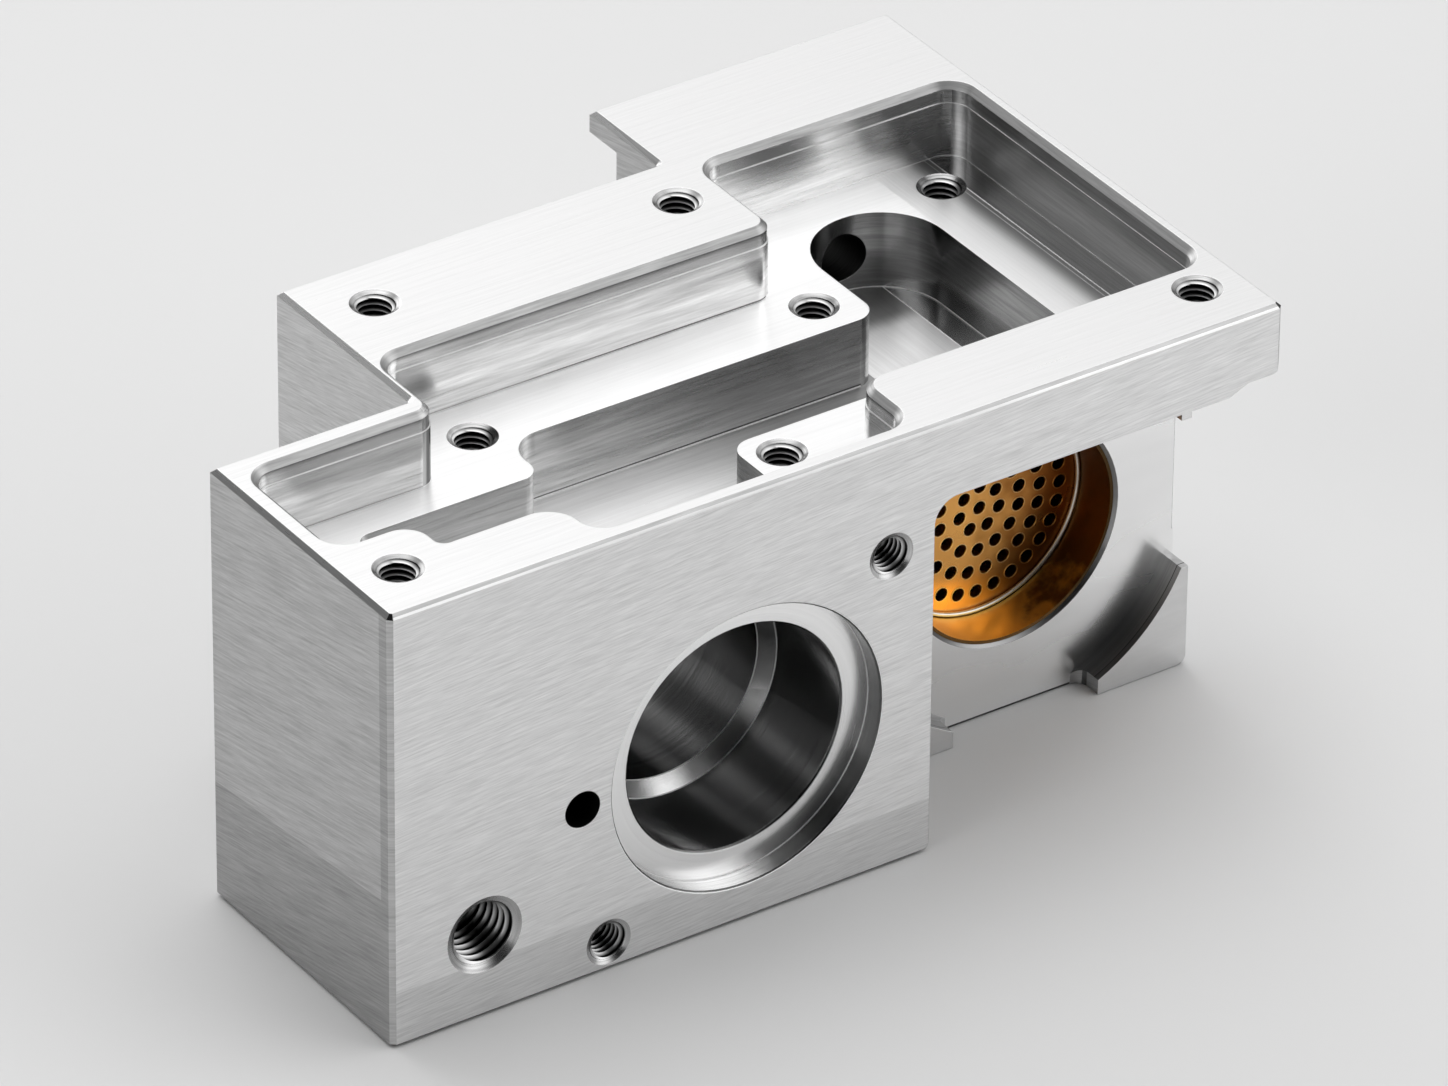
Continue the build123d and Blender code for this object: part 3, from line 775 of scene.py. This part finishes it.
# The floor at the right was cut from front to back, and the last pass beside the wall is
# glossier. The floor is painted darker towards the wall, and that last pass darker still,
# as a painted reflection of the wall.
finish_faces("right_floor", "FFFFFF", "ECECEC", 0.32, *LANES_ALONG_Y, broad=0.5, spread=0.2,
             lines=WALL_PASS_LINES, drifts=(SHADED_BY_WALL,))
finish_faces("wall_pass", "C8C8C8", "8C8C8C", 0.2, *LANES_ALONG_Y, broad=0.5)
print("finishes so far:", len(housing.data.materials))

# %% The turned bores
MAIN_AXIS = place_of("main_bore") * (1, 0, 1)
TURNED = {"middle": MAIN_AXIS, "relief": 0.001}
# Painted highlights along the shoulder's edges, and drifts of painted shade on the shoulder and the
# counterbore's wall.
SHOULDER_EDGES = (("Y", 19.27, 0.14, "E8E8E8"), ("Y", 21.33, 0.14, "E8E8E8"))
SHADED_SHOULDER = ("Z", 17, 24, "707070")
SHADED_COUNTERBORE = ("Z", 7.5, 18, "888888")
# Painted highlights along the edges of the bores' mouths.
PAINTED_EDGE_HIGHLIGHTS = (("Y", 0.03, 0.12, "FFFFFF"), ("Y", 3.33, 0.08, "E0E0E0"))
# Turned bore: fine circles whose highlights run along the bore as soft bands.
finish_faces("turned_bore", "E4E4E4", "9C9C9C", 0.19, "Y", 0.35, 0.5, spread=0.85, **TURNED)
# The shoulder is painted darker upwards, as painted shade, with painted highlights along its edges.
finish_faces("bore_shoulder", "FAFAFA", "DCDCDC", 0.24, "Y", 0.3, 0.5, drifts=(SHADED_SHOULDER,),
             lines=SHOULDER_EDGES, **TURNED)
# Where the counterbore's wall meets its ring, a painted highlight lies beside a line of
# painted shade in the crease, and the wall is painted darker upwards from near its bottom,
# as painted shade.
# The lane there is the radius plus the depth, which is twice the middle less the mouth's chamfer.
CREASE = place_of("main_counterbore")[1] * 2 - MOUTH_CHAMFER + mounts["main_counterbore"]["dims"]["r_mm"]
CREASE_LINES = (("R", CREASE - 0.08, 0.14, "D8D8D8"), ("R", CREASE + 0.07, 0.16, "202020"))
finish_faces("counterbore_wall", "E0E0E0", "A8A8A8", 0.19, "Y", 0.4, 0.5, lines=CREASE_LINES,
             drifts=(SHADED_COUNTERBORE,), **TURNED)
# The ring was faced with a keen tool, so it shows a soft image of the wall beside it.
finish_faces("faced_ring", "FCFCFC", "F0F0F0", 0.24, "Y", 0.6, 0.5, spread=0.2, lines=CREASE_LINES, **TURNED)
# The mouths of both cuts were broken smooth. They are painted dark like the wall beside them,
# as painted shade, with a hair of painted highlight along their edges.
finish_faces("turned_edge", "686868", "505050", 0.25, "Y", 0.3, 0.5, spread=0.0, lines=PAINTED_EDGE_HIGHLIGHTS, **TURNED)
finish_faces("lined_bore_mouth", "A8A8A8", "787878", 0.3, "Y", 0.4, 0.5, middle=LINED_AXIS, relief=0.001)
print("finishes so far:", len(housing.data.materials))

# %% The recess and the holes
RECESS_FOOT = ("Z", 0.15, 0.3, "505050")
ARC_PASS_LINE = ("Y", 20.8, 0.16, "484848")
SHADED_ARC_FOOT = ("Z", 20, 4, "A0A0A0")
# Faced recess: no marks to see, only a slow drift of tone, with a painted contact shadow along
# its foot. Its pads are a shade duller.
finish_faces("faced_recess", "FCFCFC", "F0F0F0", 0.28, "Z", 1.2, 5, relief=0, broad=1, spread=0.2,
             lines=(RECESS_FOOT,))
finish_faces("pad_face", "E8E8E8", "D4D4D4", 0.34, "Z", 1, 4, relief=0.001, broad=0.8, spread=0.2)
# The wall of the pads follows the bore, and a cutter ran round it. It is painted darker
# towards its foot, as painted shade.
finish_faces("arc_wall", "C4C4C4", "A0A0A0", 0.38, "Y", 0.5, 0.5, middle=LINED_AXIS, relief=0, spread=0.3,
             lines=(ARC_PASS_LINE,), drifts=(SHADED_ARC_FOOT,))
# Countersinks: a drill's point left them smooth, with fine rings.
finish_faces("front_countersink", "D4D4D4", "A0A0A0", 0.22, "Y", 0.2, 10, relief=0.001)
finish_faces("top_countersink", "C0C0C0", "808080", 0.24, "Z", 0.2, 10, relief=0.001)
# Drilled walls: rough, and painted dark, as painted shade inside the holes.
finish_faces("drilled_hole", "484848", "282828", 0.4, "Y", 0.3, 10, relief=0.002, spread=0.0)
faces.foreach_set("material_index", face_slots)
print("finishes:", len(housing.data.materials), "faces without one:", int((face_slots < 0).sum()))

# %% [markdown]
# ## Threads
# A tap cuts a groove that winds down the hole, one pitch for each turn. The thread here is a
# sleeve of its own in each hole. Its rows follow the helix, so that five rows to a turn give
# crisp crests, and its outside lies just inside the wall of the drilled hole.

# %% Turns of the threads
# A share of a turn, and how far the profile is raised there: a root, a crest and the root again.
PROFILE = np.array(((0.0, 0.0), (0.2, 0.0), (0.46, 1.0), (0.58, 1.0), (0.84, 0.0)))
CREST = 0.5
ROOT_INSET = 0.04
WALL_INSET = 0.01
SINK_SLOPE = np.tan(np.radians(60))
THREAD_WELD = 0.0005 * MM
# The crests at the hole's end are painted this share darker than those at its mouth, as
# painted shade.
DIMMED = 0.6
# Pitch in mm and faces round one turn, for holes wider than LARGE_RADIUS and for the others.
LARGE_RADIUS = 4
LARGE_THREAD = (1.5, 64)
SMALL_THREAD = (1.0, 48)

# Tapped aluminium: the crests are painted light near the mouth, as painted light, and the
# roots near black, as painted shade in the grooves.
cut_thread = bpy.data.materials.new("tapped_aluminium")
cut_thread.use_nodes = True
tree = cut_thread.node_tree
shader = tree.nodes["Principled BSDF"]
shader.inputs["Metallic"].default_value = 1
shader.inputs["Roughness"].default_value = 0.3
crest = node(tree, "ShaderNodeAttribute", {"attribute_name": "crest"}).outputs["Fac"]
shade = node(tree, MIX, OF_COLOURS, i0=crest, i6=linear("141414"), i7=linear("D8D8D8"))
tree.links.new(shade.outputs[2], shader.inputs["Base Color"])


def thread(name, mouth, axis, radius, length, pitch, columns):
    """A threaded sleeve round an axis that points out of the hole. Lengths are in mm.

    Its radius is the root's less CREST times the profile at depth / pitch + angle / 360, and
    the countersink's cone cuts away the first crest.
    """
    side = np.array(AXES["Z"] if abs(axis[2]) < 0.5 else AXES["X"])
    other = np.cross(axis, side)
    turns = int(np.ceil(length / pitch)) + 1
    share = (np.arange(turns)[:, None] + PROFILE[:, 0]).ravel()
    turned = np.arange(columns) / columns
    angle = turned * 2 * np.pi
    depth = np.clip((share[:, None] - turned) * pitch, 0, length)
    raised = np.interp((depth / pitch + turned) % 1, np.append(PROFILE[:, 0], 1), np.append(PROFILE[:, 1], 0))
    wall = radius - ROOT_INSET - np.minimum(raised * CREST, depth * SINK_SLOPE)
    depth = np.vstack((depth, np.full(columns, length), np.zeros(columns)))
    wall = np.vstack((wall, np.full((2, columns), radius - WALL_INSET)))
    raised = np.vstack((raised, np.zeros((2, columns))))
    outward = np.cos(angle)[:, None] * side + np.sin(angle)[:, None] * other
    points = mouth - depth[..., None] * axis + wall[..., None] * outward
    rows = len(depth)
    row, column = np.meshgrid(np.arange(rows), np.arange(columns), indexing="ij")

    def number(r, c):
        """The vertex at a row and a column. After a full turn a row meets the one a pitch above it."""
        met = np.where(r < rows - 2, np.maximum(r - len(PROFILE), 0), r)
        return np.where(c < columns, r * columns + c, met * columns)

    below = (row + 1) % rows
    corners = (number(row, column), number(row, column + 1), number(below, column + 1), number(below, column))
    loops = [list(dict.fromkeys(quad)) for quad in np.stack(corners, axis=-1).reshape(-1, 4).tolist()]
    mesh = bpy.data.meshes.new(name)
    mesh.from_pydata(points.reshape(-1, 3) * MM + low, [], [loop for loop in loops if len(loop) > 2])
    # The crest value is painted light and shade: light on the crests, black in the roots, dimmer deeper in.
    brightness = raised * (1 - DIMMED * depth / length)
    mesh.attributes.new("crest", "FLOAT", "POINT").data.foreach_set("value", brightness.ravel())
    shape = bmesh.new()
    shape.from_mesh(mesh)
    bmesh.ops.remove_doubles(shape, verts=shape.verts, dist=THREAD_WELD)
    bmesh.ops.recalc_face_normals(shape, faces=shape.faces)
    smooth_but_sharp(shape, mesh)
    mesh.materials.append(cut_thread)
    add_piece(name, mesh)


for name, mouth, axis, radius, length in threaded:
    pitch, columns = LARGE_THREAD if radius > LARGE_RADIUS else SMALL_THREAD
    thread("thread_" + name, mouth, axis, radius, length, pitch, columns)

# %% [markdown]
# ## Bronze in the rear bore
# The sleeve and the perforated disc are polished bronze. The light comes in from the left,
# so both are painted light there and darker towards the right, as painted light and shade.
# A soft noise sways the border of that painted shade and gives both some duller patches.

# %% Bronze with painted light and shade
# How far the noise sways the border of the painted shade, in mm.
SHADE_SWAY = 24
# The duller patches are rougher than the bronze by DULLER, and the rest is glossier by UNEVEN_GLOSS.
DULLER = 0.1


def bronze_with_painted_shade(name, light, shade_tone, rough, clear_until, dark_from, patch):
    """Polished bronze painted from light to shade_tone along X between two places, in mm, as painted light
    and shade.
    """
    material = bpy.data.materials.new(name)
    material.use_nodes = True
    tree = material.node_tree
    shader = tree.nodes["Principled BSDF"]
    shader.inputs["Metallic"].default_value = 1
    place = node(tree, "ShaderNodeTexCoord").outputs["Object"]
    cloud = node(tree, "ShaderNodeTexNoise", Vector=place, Scale=1 / (patch * MM), Detail=3).outputs["Fac"]
    reach = reach_along(tree, place, "X")
    drift = node(tree, MATH, {"operation": "MULTIPLY_ADD"}, i0=cloud, i1=SHADE_SWAY * MM, i2=reach).outputs[0]
    start, end = (clear_until + SHADE_SWAY / 2) * MM, (dark_from + SHADE_SWAY / 2) * MM
    shaded_share = node(tree, "ShaderNodeMapRange", SMOOTH_STEP, Value=drift, From_Min=start, From_Max=end)
    shade = node(tree, MIX, OF_COLOURS, i0=shaded_share.outputs["Result"], i6=linear(light), i7=linear(shade_tone))
    gloss = node(tree, "ShaderNodeMapRange", Value=cloud, From_Min=NOISE_LOW, From_Max=NOISE_HIGH,
                 To_Min=rough - UNEVEN_GLOSS, To_Max=rough + DULLER)
    tree.links.new(shade.outputs[2], shader.inputs["Base Color"])
    tree.links.new(gloss.outputs[0], shader.inputs["Roughness"])
    return material


# Bronze sleeve: painted a warm orange at the left, as painted light, and brown at the right,
# as painted shade.
sleeve = merged_copy("bronze_sleeve")
sleeve.data.materials.append(bronze_with_painted_shade("sleeve_painted_light_and_shade", "FFD474", "80592E", 0.34, 127, 134, 4))
# The sleeve's front lip is a darker brown, and only a thin line of it shows.
sleeve.data.materials.append(bronze_with_painted_shade("dark_bronze_lip", "7A5C38", "4A3820", 0.4, 127, 137, 5))
for face in sleeve.data.polygons:
    face.material_index = int(face.normal.y < -ACROSS_BORE)
# Bronze disc: paler and duller than the sleeve, and painted brown towards the right, as
# painted shade, with brown patches where the noise sways its border.
disc = merged_copy("perforated_disc")
disc.data.materials.append(bronze_with_painted_shade("polished_disc", "F0B060", "8C5624", 0.28, 118, 134, 7))

# %% [markdown]
# The disc's holes were punched, and a punch leaves a thin raised rim round each that catches
# the light. The rims are one mesh: a torus of a few dozen faces, repeated at the middle and
# round the disc's four circles of holes.

# %% Rims of the disc's holes
# Each circle has FIRST_CIRCLE holes more than the one inside it, and is a step wider, in mm.
CIRCLES = 4
CIRCLE_STEP = 3.53
FIRST_CIRCLE = 7
TURN = np.radians(-65.5)
# The radius of a hole and that of its rim's tube, in mm, and the faces round either of them.
HOLE_RADIUS = 1.05
RIM = 0.1
ROUND, TUBE = 14, 6

spots = [np.zeros((1, 2))]
for circle in range(1, CIRCLES + 1):
    angle = TURN + np.arange(FIRST_CIRCLE * circle) * 2 * np.pi / (FIRST_CIRCLE * circle)
    spots.append(circle * CIRCLE_STEP * np.stack((np.cos(angle), np.sin(angle)), axis=-1))
spots = np.vstack(spots)
disc_front = (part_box("perforated_disc")[0][1] - low[1]) / MM

# A torus: round the hole by one angle, and round its own tube by the other.
round_angle = np.arange(ROUND)[:, None] * 2 * np.pi / ROUND
tube_angle = np.arange(TUBE)[None, :] * 2 * np.pi / TUBE
away = HOLE_RADIUS + RIM + RIM * np.cos(tube_angle)
torus = np.stack((
    away * np.cos(round_angle),
    disc_front + RIM * np.sin(tube_angle) + 0 * round_angle,
    away * np.sin(round_angle),
), axis=-1).reshape(-1, 3)
shift = np.stack((spots[:, 0] + LINED_AXIS[0], 0 * spots[:, 0], spots[:, 1] + LINED_AXIS[2]), axis=-1)
points = (shift[:, None] + torus).reshape(-1, 3)
i, j = np.meshgrid(np.arange(ROUND), np.arange(TUBE), indexing="ij")
next_i, next_j = (i + 1) % ROUND, (j + 1) % TUBE
patches = np.stack((i * TUBE + j, i * TUBE + next_j, next_i * TUBE + next_j, next_i * TUBE + j), axis=-1)
quads = (np.arange(len(spots))[:, None, None, None] * len(torus) + patches).reshape(-1, 4)
rim_mesh = bpy.data.meshes.new("disc_hole_rims")
rim_mesh.from_pydata(points * MM + low, [], quads.tolist())
shape = bmesh.new()
shape.from_mesh(rim_mesh)
bmesh.ops.recalc_face_normals(shape, faces=shape.faces)
smooth_but_sharp(shape, rim_mesh)
add_piece("disc_hole_rims", rim_mesh)
# The rims are painted paler than the disc, as a painted highlight, so that each hole is drawn
# by a fine light line.
rim_mesh.materials.append(bronze_with_painted_shade("rim_painted_highlight", "FFD894", "B07C40", 0.3, 118, 138, 7))

# %% [markdown]
# A ring of drawn wire keeps the disc in. Drawing leaves hardly a mark, so the ring is smooth
# and pale, and only a faint noise breaks its highlight.

# %% Bright wire
wire = merged_copy("wire_ring")
drawn_wire = tooled_metal("drawn_wire", "ECE8E0", "CCC8C0", 0.34, "Y", 0.5, 6, relief=0, spread=0.0)
wire.data.materials.append(drawn_wire)
